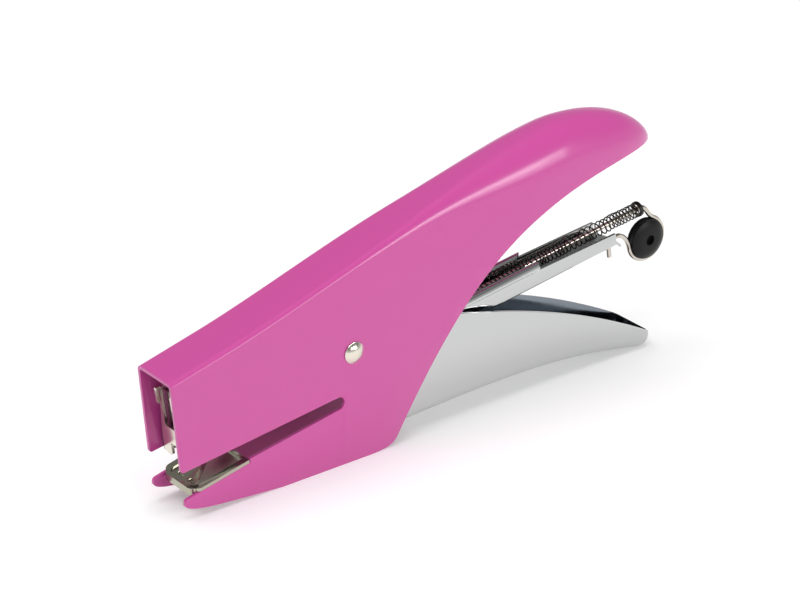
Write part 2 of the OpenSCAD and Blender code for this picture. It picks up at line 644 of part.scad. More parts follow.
// Long coil spring on the rod between the pusher and the collar
module magazine_spring() {
    x0 = spring_front + spring_wire_d / 2 + 0.1;
    x1 = stop_x - stop_t - spring_wire_d / 2 - 0.1;
    steps = 8;
    color("silver") in_rail() bar([for (i = [0:spring_turns * steps]) let(a = 360 * i / steps)
        [x0 + (x1 - x0) * i / steps / spring_turns, spring_r * cos(a), wire_z + spring_r * sin(a)]],
        spring_wire_d / 2, 5);
}

// Sled that fills the rail and slides on the rod, with a spine in the slot
module staple_pusher() {
    w = rail_w / 2 - rail_sheet - seat_gap;
    spine = rail_slot_w / 2 - seat_gap;
    floor_z = rail_z + rail_sheet + seat_gap;
    shoulder = roll_z - seat_gap;
    color("gray") in_rail() difference() {
        along(pusher_x, pusher_x + pusher_len) polygon([
            [-w, floor_z], [w, floor_z], [w, shoulder], [spine, shoulder], [spine, wire_z + wire_r + 0.9],
            [-spine, wire_z + wire_r + 0.9], [-spine, shoulder], [-w, shoulder]
        ]);
        along(pusher_x - 1, pusher_x + pusher_len + 1) translate([0, wire_z]) circle(wire_r + running_gap);
        along(pusher_x - 1, pusher_x + 0.3 + cap_len) translate([0, wire_z]) circle(wire_r + 0.5 + seat_gap);
    }
}

// ---------- the part ----------

body_shell();
anvil_plate();
pivot_rivet();
lower_handle();
driver_arm();
arm_rivets();
driver_blade();
driver_pin();
pivot_bush();
return_spring();
magazine_rail();
nose_plate();
nose_rivets();
pivot_bracket();
feeder_rod();
rod_cap();
feeder_knob();
spring_stop();
magazine_spring();
staple_pusher();
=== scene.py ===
"""Plier stapler: fine surfaces, finishes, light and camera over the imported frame.

Lengths are in millimetres from the pivot axis unless a name ends in _m. Level coordinates run from the
jaws to the grips (x), across (y) and up (z). Rail coordinates are the same, tilted with the magazine.
"""

import logging
import math
from collections.abc import Sequence
from dataclasses import dataclass, field

import bmesh
import bpy
import numpy as np
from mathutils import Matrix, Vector


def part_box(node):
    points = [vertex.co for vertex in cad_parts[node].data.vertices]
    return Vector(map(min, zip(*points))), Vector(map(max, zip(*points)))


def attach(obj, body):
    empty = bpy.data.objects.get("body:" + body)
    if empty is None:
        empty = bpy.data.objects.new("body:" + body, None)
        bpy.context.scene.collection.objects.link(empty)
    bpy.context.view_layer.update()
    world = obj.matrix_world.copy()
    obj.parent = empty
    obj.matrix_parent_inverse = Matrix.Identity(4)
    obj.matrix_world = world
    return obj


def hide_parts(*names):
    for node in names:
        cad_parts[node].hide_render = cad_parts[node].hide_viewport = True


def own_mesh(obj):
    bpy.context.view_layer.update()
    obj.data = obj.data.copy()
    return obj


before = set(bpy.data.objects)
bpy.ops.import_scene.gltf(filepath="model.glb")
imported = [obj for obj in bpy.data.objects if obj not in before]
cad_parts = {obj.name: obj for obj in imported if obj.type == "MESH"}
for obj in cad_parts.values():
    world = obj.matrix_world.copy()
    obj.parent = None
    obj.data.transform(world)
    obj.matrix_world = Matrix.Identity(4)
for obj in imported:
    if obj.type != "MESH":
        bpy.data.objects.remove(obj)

log = logging.getLogger("stapler")
ALONG, ACROSS, UP = range(3)
WHITE = (1.0, 1.0, 1.0, 1.0)
LATHE_STEPS = 96
# A wire's end: how far it reaches past the path and how wide it is, as shares of the radius.
TIP_REACH, TIP_SHARE = 0.25, 0.55
# Depths under the shell's crease at which its walls are sampled.
WALL_DEPTHS = np.array([32.0, 24.0, 18.0, 14.0, 11.0, 8.5, 6.5, 5.0, 3.6, 2.4, 1.2])


# ---------------- curves


def cubic(p: Sequence, q: Sequence, r: Sequence, s: Sequence, n: int) -> np.ndarray:
    """Samples a cubic curve.

    Args:
        p: Start point.
        q: Handle of the start point.
        r: Handle of the end point.
        s: End point.
        n: Number of steps.

    Returns:
        Array of n + 1 points.
    """
    t = np.linspace(0.0, 1.0, n + 1)[:, None]
    k = 1.0 - t
    p, q, r, s = (np.asarray(v, float) for v in (p, q, r, s))
    return k**3 * p + 3 * k**2 * t * q + 3 * k * t**2 * r + t**3 * s


def arc(centre: Sequence, radius: float, start: float, end: float, n: int) -> np.ndarray:
    """Samples n + 1 points of a circular arc in a plane, between two angles in degrees."""
    a = np.radians(np.linspace(start, end, n + 1))
    return np.asarray(centre, float) + radius * np.stack([np.cos(a), np.sin(a)], 1)


def circle(centre: Sequence, radius: float, n: int) -> np.ndarray:
    """Samples n points of a whole circle in a plane, without repeating the first."""
    return arc(centre, radius, 0, 360 * (n - 1) / n, n - 1)


def beside(path: np.ndarray, distance: float) -> np.ndarray:
    """Moves a plane path sideways.

    Args:
        path: Points of the path, in order.
        distance: How far to move it, to the left of its direction.

    Returns:
        The moved points.
    """
    step = np.gradient(path, axis=0)
    step /= np.linalg.norm(step, axis=1, keepdims=True)
    return path + distance * np.stack([-step[:, 1], step[:, 0]], 1)


def ribbon(path: np.ndarray, thickness: float) -> np.ndarray:
    """Outlines a bent sheet from its middle line and its thickness."""
    return np.concatenate([beside(path, thickness / 2), beside(path, -thickness / 2)[::-1]])


def rectangle(x0: float, x1: float, y0: float, y1: float) -> np.ndarray:
    """Outlines a rectangle from its least and greatest coordinates."""
    return np.array([[x0, y0], [x1, y0], [x1, y1], [x0, y1]])


def mirrored(half: np.ndarray) -> np.ndarray:
    """Adds the mirror image of half a cross section that ends near the middle."""
    return np.concatenate([half, half[::-1] * [-1.0, 1.0]])


def hoops(x: np.ndarray, half: np.ndarray) -> np.ndarray:
    """Sets whole cross sections at a column of places, from their halves in y and z."""
    whole = np.concatenate([half, half[:, ::-1] * [-1.0, 1.0]], 1)
    return np.concatenate([np.broadcast_to(x[:, None], (*whole.shape[:2], 1)), whole], -1)


def spline(points: np.ndarray, per_span: int) -> np.ndarray:
    """Draws a smooth curve through points.

    Args:
        points: Points that the curve passes through.
        per_span: Steps between neighbouring points.

    Returns:
        Points on the curve.
    """
    p = np.concatenate([2 * points[:1] - points[1:2], points, 2 * points[-1:] - points[-2:-1]])
    t = np.linspace(0.0, 1.0, per_span, endpoint=False)[None, :, None]
    a, b, c, d = (p[i : len(p) - 3 + i][:, None, :] for i in range(4))
    body = 0.5 * (2 * b + (c - a) * t + (2 * a - 5 * b + 4 * c - d) * t**2 + (3 * b - a - 3 * c + d) * t**3)
    return np.concatenate([body.reshape(-1, points.shape[1]), points[-1:]])


def ease(x: np.ndarray, a: float, b: float) -> np.ndarray:
    """Steps smoothly from 0 at a to 1 at b."""
    u = np.clip((x - a) / (b - a), 0.0, 1.0)
    return u * u * (3 - 2 * u)


# ---------------- placing


@dataclass(frozen=True)
class Placement:
    """Where the pivot axis lies in the row frame, and how far the magazine tilts."""

    pivot_m: tuple[float, float, float]
    tilt_deg: float = 7.6

    @classmethod
    def from_rivet(cls) -> "Placement":
        """Reads the pivot's place from the rivet's solid."""
        low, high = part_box("pivot_rivet")
        return cls(tuple((low + high) / 2))

    def level(self, points: np.ndarray) -> np.ndarray:
        """Places points given in millimetres from the pivot axis, and gives metres in the row frame."""
        return np.asarray(points, float) * 0.001 + self.pivot_m

    def rail(self, points: np.ndarray) -> np.ndarray:
        """Places points that tilt with the magazine.

        Args:
            points: Points in rail coordinates.

        Returns:
            Points in the row frame, in metres.
        """
        p = np.asarray(points, float)
        c, s = math.cos(math.radians(self.tilt_deg)), math.sin(math.radians(self.tilt_deg))
        turned = np.stack([p[..., 0] * c - p[..., 2] * s, p[..., 1], p[..., 0] * s + p[..., 2] * c], -1)
        return self.level(turned)


# ---------------- finishes


def srgb(code: str) -> tuple[float, float, float, float]:
    """Turns an sRGB colour into the renderer's linear one.

    Args:
        code: Colour such as "#C85FA2".

    Returns:
        Linear red, green and blue, and 1 for alpha.
    """
    raw = np.array([int(code[i : i + 2], 16) for i in (1, 3, 5)]) / 255.0
    linear = np.where(raw <= 0.04045, raw / 12.92, ((raw + 0.055) / 1.055) ** 2.4)
    return (*linear.tolist(), 1.0)


@dataclass(frozen=True)
class Finish:
    """A finish and the record's material slot that it belongs to.

    The grain of a drawn finish is stretched along the object. Roughness varies by spread to both sides.
    """

    name: str
    slot: str
    colour: str
    roughness: float
    metallic: float = 1.0
    specular: float = 0.5
    coat: float = 0.0
    coat_roughness: float = 0.1
    grain_mm: float = 0.6
    grain_depth_mm: float = 0.004
    spread: float = 0.05
    drawn: bool = False


PINK = Finish("pink_paint", "pink_paint", "#C94B9A", 0.42, 0.0, 0.2, coat=0.9, coat_roughness=0.2,
              grain_mm=0.45, grain_depth_mm=0.0025, spread=0.02)
CHROME = Finish("chrome_plate", "chrome_plate", "#C3C5C4", 0.06, grain_mm=9.0, spread=0.02)
# Darker, bluer and rougher chrome for the handle's inside faces: painted shade inside the trough.
CHROME_PAINTED_SHADE = Finish("chrome_painted_shade", "chrome_plate", "#7F868E", 0.13, grain_mm=5.0, grain_depth_mm=0.01,
                     spread=0.04)
NICKEL = Finish("nickel_plate", "nickel_steel", "#E0DBCD", 0.16, grain_mm=4.0, spread=0.04)
WIRE = Finish("nickel_wire", "nickel_steel", "#CDC6BC", 0.17, grain_mm=0.8, grain_depth_mm=0.002, drawn=True)
ANVIL = Finish("anvil_steel", "dark_steel", "#B4B2A0", 0.2, grain_mm=0.7, spread=0.08)
DARK = Finish("dark_steel", "dark_steel", "#3A3936", 0.38, spread=0.08)
SPRING = Finish("spring_wire", "spring_steel", "#4A4641", 0.2, grain_depth_mm=0.002, drawn=True)
BLADE = Finish("blade_steel", "spring_steel", "#B4B3AE", 0.25, grain_depth_mm=0.002)
BLACK = Finish("black_plastic", "black_plastic", "#0D0D0D", 0.4, 0.0, 0.22, grain_mm=0.35)


class NodeTree:
    """A small helper that adds and links shader nodes."""

    def __init__(self, tree: bpy.types.NodeTree) -> None:
        """Starts with an empty tree."""
        self.tree = tree
        tree.nodes.clear()

    def add(self, kind: str, links: dict | None = None, **values: object) -> bpy.types.Node:
        """Adds a node.

        Args:
            kind: Type of the node.
            links: Input name to the output socket that feeds it.
            **values: Node properties, or input values given as "in_" and the input's name.

        Returns:
            The new node.
        """
        node = self.tree.nodes.new(kind)
        for key, value in values.items():
            if key.startswith("in_"):
                node.inputs[key[3:].replace("__", " ")].default_value = value
            else:
                setattr(node, key, value)
        for name, socket in (links or {}).items():
            self.tree.links.new(socket, node.inputs[name])
        return node


@dataclass
class Palette:
    """Builds each finish's material once."""

    made: dict[str, bpy.types.Material] = field(default_factory=dict)

    def get(self, finish: Finish) -> bpy.types.Material:
        """Gives the material of a finish.

        Args:
            finish: The finish wanted.

        Returns:
            Its material.
        """
        if finish.name not in self.made:
            self.made[finish.name] = self._build(finish)
            log.info("finish %s: roughness %.2f", finish.name, finish.roughness)
        return self.made[finish.name]

    def _build(self, finish: Finish) -> bpy.types.Material:
        """Builds the node tree of a finish.

        Args:
            finish: The finish to build.

        Returns:
            The new material.
        """
        material = bpy.data.materials.new(finish.name)
        material.use_nodes = True
        material.diffuse_color = srgb(finish.colour)
        nodes = NodeTree(material.node_tree)
        place = nodes.add("ShaderNodeTexCoord").outputs["Object"]
        stretch = (0.12, 1.0, 1.0) if finish.drawn else (1.0, 1.0, 1.0)
        moved = nodes.add("ShaderNodeMapping", {"Vector": place}, in_Scale=stretch)
        grain = nodes.add("ShaderNodeTexNoise", {"Vector": moved.outputs["Vector"]},
                          in_Scale=1000 / finish.grain_mm, in_Detail=2.0, in_Roughness=0.55)
        wide = nodes.add("ShaderNodeTexNoise", {"Vector": place}, in_Scale=60.0, in_Detail=3.0)
        rough = nodes.add("ShaderNodeMapRange", {"Value": wide.outputs["Fac"]}, in_From__Min=0.3,
                          in_From__Max=0.7, in_To__Min=finish.roughness - finish.spread,
                          in_To__Max=finish.roughness + finish.spread)
        bump = nodes.add("ShaderNodeBump", {"Height": grain.outputs["Fac"]}, in_Strength=0.6,
                         in_Distance=finish.grain_depth_mm * 0.001)
        shader = nodes.add("ShaderNodeBsdfPrincipled",
                           {"Roughness": rough.outputs["Result"], "Normal": bump.outputs["Normal"]},
                           in_Base__Color=srgb(finish.colour), in_Metallic=finish.metallic,
                           in_Coat__Weight=finish.coat, in_Coat__Roughness=finish.coat_roughness,
                           in_Specular__IOR__Level=finish.specular)
        nodes.add("ShaderNodeOutputMaterial", {"Surface": shader.outputs["BSDF"]})
        return material


# ---------------- meshes


@dataclass(frozen=True)
class Maker:
    """Makes, carves and finishes the pieces of the object."""

    place: Placement
    palette: Palette

    def mesh(self, name: str, points_m: np.ndarray, faces: list) -> bpy.types.Object:
        """Makes an object from points and faces.

        Args:
            name: Name of the piece.
            points_m: Points in the row frame, in metres.
            faces: Lists of point numbers.

        Returns:
            The new object.
        """
        data = bpy.data.meshes.new(name)
        data.from_pydata(np.asarray(points_m).reshape(-1, 3).tolist(), [], faces)
        data.validate()
        shape = bmesh.new()
        shape.from_mesh(data)
        if shape.calc_volume(signed=True) < 0:
            data.flip_normals()
        shape.free()
        thing = bpy.data.objects.new(name, data)
        bpy.context.scene.collection.objects.link(thing)
        return thing

    def loft(self, name: str, rings: np.ndarray, rail: bool = False) -> bpy.types.Object:
        """Joins closed rings of points with four-sided faces, and closes both ends.

        Args:
            name: Name of the piece.
            rings: Array of rings by points by 3.
            rail: Whether these are rail coordinates.

        Returns:
            The new object.
        """
        m, n = rings.shape[:2]
        here = np.arange(m * n).reshape(m, n)
        right = np.roll(here, -1, 1)
        quads = np.stack([here[:-1], right[:-1], right[1:], here[1:]], -1).reshape(-1, 4).tolist()
        points_m = self.place.rail(rings) if rail else self.place.level(rings)
        return self.mesh(name, points_m, [*quads, here[0][::-1].tolist(), here[-1].tolist()])

    def prism(self, name: str, outline: np.ndarray, axis: int, low: float, high: float,
              rail: bool = False) -> bpy.types.Object:
        """Extrudes an outline in two coordinates along the third: ALONG, ACROSS or UP."""
        return self.loft(name, np.stack([np.insert(outline, axis, at, axis=1) for at in (low, high)]), rail)

    def lathe(self, name: str, profile: np.ndarray, centre: Sequence, rail: bool = False) -> bpy.types.Object:
        """Turns a profile about an axis across the part.

        Args:
            name: Name of the piece.
            profile: Radius and place along y, from axis to axis.
            centre: The axis, in x and z, and the place of y 0 on it, as x, y, z.
            rail: Whether the centre is in rail coordinates.

        Returns:
            The new object.
        """
        a = np.linspace(0, 2 * math.pi, LATHE_STEPS, endpoint=False)
        radius, along = profile[:, :1], np.repeat(profile[:, 1:], LATHE_STEPS, 1)
        rings = np.stack([radius * np.cos(a), along, radius * np.sin(a)], -1) + np.asarray(centre, float)
        return self.loft(name, rings, rail)

    def tube(self, name: str, path: np.ndarray, radius: float, side: np.ndarray, n: int) -> bpy.types.Object:
        """Makes a round wire whose middle follows a path in rail coordinates.

        Args:
            name: Name of the piece.
            path: Points of the middle line.
            radius: Radius of the wire.
            side: Direction at each point that isn't along the path.
            n: Number of sides.

        Returns:
            The new object.
        """
        tangent = np.gradient(path, axis=0)
        tangent /= np.linalg.norm(tangent, axis=1, keepdims=True)
        u = side - tangent * np.sum(side * tangent, 1, keepdims=True)
        u /= np.linalg.norm(u, axis=1, keepdims=True)
        v = np.cross(tangent, u)
        a = np.linspace(0, 2 * math.pi, n, endpoint=False)[None, :, None]
        rings = path[:, None, :] + radius * (np.cos(a) * u[:, None, :] + np.sin(a) * v[:, None, :])
        first = path[0] - tangent[0] * radius * TIP_REACH + (rings[0] - path[0]) * TIP_SHARE
        last = path[-1] + tangent[-1] * radius * TIP_REACH + (rings[-1] - path[-1]) * TIP_SHARE
        return self.loft(name, np.concatenate([first[None], rings, last[None]]), True)

    def bake(self, thing: bpy.types.Object) -> None:
        """Turns an object's modifiers into its mesh.

        Args:
            thing: The object.
        """
        graph = bpy.context.evaluated_depsgraph_get()
        graph.update()
        baked = bpy.data.meshes.new_from_object(thing.evaluated_get(graph))
        thing.modifiers.clear()
        thing.data = baked

    def carve(self, thing: bpy.types.Object, tool: bpy.types.Object, operation: str = "DIFFERENCE",
              lining: Finish | None = None) -> None:
        """Cuts, joins or keeps what an object shares with a tool, and removes the tool.

        Args:
            thing: The object to change.
            tool: The other object.
            operation: DIFFERENCE, UNION or INTERSECT.
            lining: Finish of the faces that the tool leaves, where it isn't the object's own.
        """
        if lining:
            for target in (thing, tool):
                target.data.materials.append(None)
                target.data.materials.append(self.palette.get(lining))
            tool.data.polygons.foreach_set("material_index", np.ones(len(tool.data.polygons), dtype=np.int32))
        step = thing.modifiers.new("carve", "BOOLEAN")
        step.operation, step.solver, step.object = operation, "EXACT", tool
        self.bake(thing)
        bpy.data.objects.remove(tool)

    def soften(self, thing: bpy.types.Object, width_mm: float, angle: float, segments: int = 2) -> None:
        """Rounds an object's sharp edges.

        Args:
            thing: The object.
            width_mm: Width of the rounding.
            angle: Least angle between faces that counts as sharp, in degrees.
            segments: Steps across the rounding.
        """
        step = thing.modifiers.new("edges", "BEVEL")
        step.width, step.segments = width_mm * 0.001, segments
        step.limit_method, step.angle_limit = "ANGLE", math.radians(angle)
        step.miter_outer = "MITER_ARC"
        self.bake(thing)

    def dress(self, thing: bpy.types.Object, finish: Finish, body: str, node: str, sharp: float) -> None:
        """Gives a new piece its finish, its body and the solid that it stands for.

        Args:
            thing: The piece.
            finish: Its finish.
            body: The body it moves with.
            node: The solid that it replaces.
            sharp: Least angle between faces that shows as an edge, in degrees.
        """
        if not thing.data.materials:
            thing.data.materials.append(None)
        thing.data.materials[0] = self.palette.get(finish)
        thing.data.shade_smooth()
        thing.data.set_sharp_from_angle(angle=math.radians(sharp))
        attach(thing, body)
        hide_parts(node)
        log.info("piece %s: %d faces, %s, on %s", thing.name, len(thing.data.polygons), finish.name, body)

    def finish_solid(self, node: str, finish: Finish, width_mm: float) -> None:
        """Gives a solid of the frame its finish and softened edges.

        Args:
            node: Name of the solid.
            finish: Its finish.
            width_mm: Width of the edges' rounding.
        """
        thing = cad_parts[node]
        thing.data.materials.clear()
        thing.data.materials.append(self.palette.get(finish))
        step = thing.modifiers.new("edges", "BEVEL")
        step.width, step.segments, step.limit_method = width_mm * 0.001, 2, "ANGLE"
        step.angle_limit = math.radians(50)
        log.info("solid %s: %s", node, finish.name)


@dataclass(frozen=True)
class Assembly:
    """A group of pieces made from one form."""

    maker: Maker
    form: object


# ---------------- shell


@dataclass(frozen=True)
class ShellForm:
    """Sizes and curves of the pressed shell."""

    sheet: float = 1.0
    jaw_half: float = 7.95
    grip_half: float = 10.6
    crown_reach: float = 59.2
    grip_reach: float = 113.9
    crown_h: float = 8.6
    crown_slope: float = math.tan(math.radians(13.66))
    grip_h: float = 46.2
    tip_h: float = 32.1
    tip_round: float = 2.9
    bend_r: float = 1.7
    inset_fade: float = 7.0
    dome_h: float = 12.62
    widest_x: float = 68.0
    hump_from: float = -40.0
    hump_pull: tuple[float, float] = (30.0, 7.29)
    crest_x: float = 80.0
    crest_pull: tuple[float, float] = (20.0, 0.0)
    fall_pull: tuple[float, float] = (23.5, 0.0)
    inset_from: float = 25.0
    dome_from: float = -22.0
    dome_to: float = 75.0
    dome_share: float = 0.94
    pivot_h: float = 33.7
    jaw_reach: float = 57.0
    jaw_gap: float = 6.4
    slot_end_w: float = 3.9
    slot_end_x: float = 5.2
    throat_z: float = -18.545
    throat_slope: float = 0.122
    anvil_front: float = -53.2
    anvil_end: float = -35.2
    anvil_step: float = 1.2
    anvil_dip: float = math.tan(math.radians(2.5))

    @property
    def flare(self) -> float:
        """How fast each side spreads from the jaws to the grip."""
        return (self.grip_half - self.jaw_half) / (self.widest_x + self.crown_reach)

    @property
    def slot_top(self) -> float:
        """Height of the slot's upper edge at its closed end."""
        return self.throat_z + (self.jaw_reach - self.slot_end_x) * self.throat_slope

    def rise(self, x: np.ndarray | float) -> np.ndarray | float:
        """Height of the crown's straight stretch at x."""
        return self.crown_h + (x + self.crown_reach) * self.crown_slope

    def half_width(self, x: np.ndarray, t: float = 0.0) -> np.ndarray:
        """Half the shell's width.

        Args:
            x: Where to read it.
            t: Depth under the outer skin.

        Returns:
            The half widths.
        """
        x = np.asarray(x, float)
        front = self.jaw_half + self.flare * (x + self.crown_reach) - t
        run = np.clip((x - self.widest_x) / (self.grip_reach - self.widest_x - t), 0.0, None)
        rear = (self.grip_half - t) * np.sqrt(np.clip(1.0 - run**self.tip_round, 0.002, None))
        return np.where(x < self.widest_x, front, rear)

    def inset(self, x: np.ndarray) -> np.ndarray:
        """How much narrower each side is at its crease, which runs straight back until it fades out."""
        spread = self.flare * np.clip(x + self.crown_reach, 0.0, None)
        return spread * (1.0 - ease(x, self.inset_from, self.widest_x))

    def crown(self) -> np.ndarray:
        """The line of the crown over the middle.

        Returns:
            Points in x and z.
        """
        start = np.array([self.hump_from, self.rise(self.hump_from)])
        crest = np.array([self.crest_x, self.grip_h])
        tip = np.array([self.grip_reach, self.tip_h + 0.2])
        xs = np.linspace(-self.crown_reach - 6.8, self.hump_from - 1.5, 16)
        straight = np.stack([xs, self.rise(xs)], 1)
        hump = cubic(start, start + self.hump_pull, crest - self.crest_pull, crest, 84)
        fall = cubic(crest, crest + self.fall_pull, [self.grip_reach - 1.4, self.grip_h - 10.3], tip, 48)[1:]
        return np.concatenate([straight, hump, fall])

    def dome_depth(self, x: np.ndarray, z: np.ndarray) -> np.ndarray:
        """Height from the shoulder to the crown.

        Args:
            x: Where to read it.
            z: Height of the crown there.

        Returns:
            The depths.
        """
        front = self.bend_r + (self.dome_h - self.bend_r) * ease(x, self.dome_from, self.dome_to) ** 2
        run = (self.grip_reach - x) / (self.grip_reach - self.dome_to)
        rear = np.clip(z - (self.tip_h - 0.2) - 1.4 * run, 0.4, None)
        return np.where(x < self.dome_to, front, rear)

    def dome_width(self, x: np.ndarray, w: np.ndarray) -> np.ndarray:
        """How much of the half width w the rounded shoulder takes."""
        full = self.dome_share * w
        return self.bend_r + (full - self.bend_r) * ease(x, self.dome_from, self.dome_to) ** 2

    def skin(self, t: float, low: float, steps: int = 16) -> np.ndarray:
        """Rings of the shell's skin, open below.

        Args:
            t: Depth under the outer skin.
            low: Height of the rings' lower end.
            steps: Steps round each shoulder.

        Returns:
            Rings of points.
        """
        line = beside(self.crown(), -t) if t else self.crown()
        x, z = line[:, :1], line[:, 1:]
        w = self.half_width(x, t)
        rz = np.clip(self.dome_depth(x, z) - t, 0.25, None)
        ry = np.minimum(w - 0.05, np.clip(self.dome_width(x, w + t) - t, 0.2, None))
        inset = self.inset(x)
        a = np.radians(np.linspace(0, 90, steps + 1))
        y = -(w - inset - ry) - ry * np.cos(a)
        shoulder = z - rz
        up = shoulder + rz * np.sin(a)
        wall = -w + inset * np.exp(-WALL_DEPTHS / self.inset_fade)
        half = np.stack([np.concatenate([-w, wall, y], 1),
                         np.concatenate([np.full_like(x, low), shoulder - WALL_DEPTHS, up], 1)], -1)
        return hoops(x, half)

    def arm_top(self, x: np.ndarray | float) -> np.ndarray | float:
        """Height of the lower jaw's upper edge.

        Args:
            x: Where to read it.

        Returns:
            The height.
        """
        front_z = self.throat_z - self.jaw_gap
        slope = (self.slot_top - self.slot_end_w - front_z) / (self.jaw_reach - self.slot_end_x)
        return front_z + slope * (x + self.jaw_reach - 0.8)

    def seat(self, x: np.ndarray | float) -> np.ndarray | float:
        """Height of the lower jaw's edge under the anvil, at x."""
        slope = self.arm_top(1.0) - self.arm_top(0.0) + self.anvil_dip
        return self.arm_top(self.anvil_end) - self.anvil_step + slope * (x - self.anvil_end)

    def side_view(self) -> np.ndarray:
        """Closed outline of the shell from the side.

        Returns:
            Points in x and z.
        """
        slot_r = self.slot_end_w / 2
        slot = [-self.slot_end_x, self.slot_top - slot_r]
        tip_x, ground = -self.jaw_reach + 0.8, -self.pivot_h
        tip_z, step_x = self.seat(tip_x), self.anvil_end + 0.3
        return np.concatenate([
            [[-self.crown_reach - 2.2, 40.0], [-self.crown_reach, self.crown_h]],
            arc([-self.jaw_reach + 0.8, self.throat_z + 0.8], 0.8, 180, 270, 6),
            arc(slot, slot_r, 95, -82, 22),
            [[step_x, self.arm_top(self.anvil_end)], [step_x, self.seat(self.anvil_end)]],
            arc([tip_x + 1.4, tip_z - 1.1], 1.3, 102, 165, 8),
            cubic([tip_x, tip_z - 1.4], [tip_x + 0.6, ground + 2.2],
                  [-44, ground + 1.7], [-24, ground], 28)[1:],
            cubic([6, ground], [12.4, ground + 0.3], [14, ground + 1.2], [15.1, ground + 3.4], 14),
            cubic([15.1, ground + 3.4], [35, 2.3], [56, self.tip_h - 2.3], [104, self.tip_h - 0.3], 44)[1:],
            [[self.grip_reach + 5, self.tip_h], [self.grip_reach + 5, self.grip_h + 20],
             [-self.crown_reach, self.grip_h + 20]],
        ])


class Shell(Assembly):
    """The painted shell and the rivet through it."""

    form: ShellForm

    def build(self) -> None:
        """Makes the shell and the rivet."""
        self._shell()
        self._rivet()

    def _shell(self) -> None:
        """Makes the pressed shell from an outer and an inner skin, cut to the side view."""
        form, maker = self.form, self.maker
        low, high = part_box("body_shell")
        narrow = np.array([1.0, min(1.0, (high.y - low.y) * 500 / form.grip_half), 1.0])
        outer = maker.loft("body_shell_fine", form.skin(0.0, -form.pivot_h - 3) * narrow)
        maker.carve(outer, maker.loft("hollow", form.skin(form.sheet, -form.pivot_h - 6) * narrow))
        maker.carve(outer, maker.prism("view", form.side_view(), ACROSS, -20, 20), "INTERSECT")
        maker.soften(outer, 0.2, 40)
        maker.dress(outer, PINK, "shell", "body_shell", 40)

    def _rivet(self) -> None:
        """Makes the pivot rivet with its two low domes."""
        seat = float(self.form.half_width(0.0)) + 0.08
        r, rise = 3.15, 1.3
        ball = (r * r + rise * rise) / 2 / rise
        dome = arc([0, rise - ball], ball, 90 - math.degrees(math.asin((r - 0.12) / ball)), 90, 16)
        cap = np.concatenate([[[r - 0.25, -0.3], [r - 0.02, -0.12], [r, 0.05]], dome])
        profile = np.concatenate([(cap * [1, 1] + [0, seat]) * [1, -1], [[0.0001, -seat - rise]]])[::-1]
        profile = np.concatenate([profile, profile[::-1] * [1, -1]])
        rivet = self.maker.lathe("pivot_rivet_fine", profile, (0, 0, 0))
        self.maker.dress(rivet, NICKEL, "shell", "pivot_rivet", 40)


class Anvil(Assembly):
    """The dished anvil on the lower jaw."""

    form: ShellForm
    rise = 1.0
    dish = 0.8
    rim = 1.1
    sheet = 0.8
    pocket_x = 3.4
    pocket_y = 2.6
    pocket_r = 1.3

    def build(self) -> None:
        """Makes the anvil: rim, sunk floor, curling pockets and the short front flange."""
        maker, form = self.maker, self.form
        x0, x1, t = form.anvil_front, form.anvil_end, form.sheet
        plate = self._slab("anvil_fine", x0, x1, self.rise, -1.0, -0.1)
        maker.carve(plate, self._slab("rim", x0 + 0.8, x1, self.rise, 0.02, t), "UNION")
        maker.soften(plate, 0.35, 50, 3)
        floor = self.rise - self.dish
        dish = self._slab("dish", x0 + self.rim, x1 - 1.0, self.rise + 1, floor, -self.rim)
        maker.soften(dish, 0.45, 50, 3)
        maker.carve(plate, dish)
        under = self._slab("under", x0 + self.sheet, x1 + 1, floor - self.sheet, -4, -self.sheet - 0.1)
        maker.carve(plate, under)
        for s in (-1, 1):
            x, y = x0 + self.pocket_x, s * self.pocket_y
            ring = circle([x, form.seat(x) + floor + 0.9], self.pocket_r, 48)
            pocket = maker.prism("pocket", ring, ACROSS, y - 1.5, y + 1.5)
            maker.soften(pocket, 0.25, 50, 3)
            maker.carve(plate, pocket)
        maker.soften(plate, 0.08, 50)
        maker.dress(plate, ANVIL, "shell", "anvil_plate", 45)

    def _slab(self, name: str, x0: float, x1: float, top: float, low: float,
              wider: float) -> bpy.types.Object:
        """Makes a slab over the lower jaw, with rounded front corners.

        Args:
            name: Name of the slab.
            x0: Front end.
            x1: Rear end.
            top: Height of its upper face over the anvil's seat.
            low: Height of its lower face.
            wider: Distance beyond the jaw's inner face.

        Returns:
            The slab.
        """
        w0, w1 = (float(self.form.half_width(x, self.form.sheet)) + wider for x in (x0, x1))
        r = 2.2
        plan = np.concatenate([arc([x0 + r, r - w0], r, 180, 270, 12), [[x1, -w1], [x1, w1]],
                               arc([x0 + r, w0 - r], r, 90, 180, 12)])
        seat = self.form.seat(plan[:, 0])
        return self.maker.loft(name, np.stack([np.column_stack([plan, seat + z]) for z in (low, top)]))


# ---------------- handle


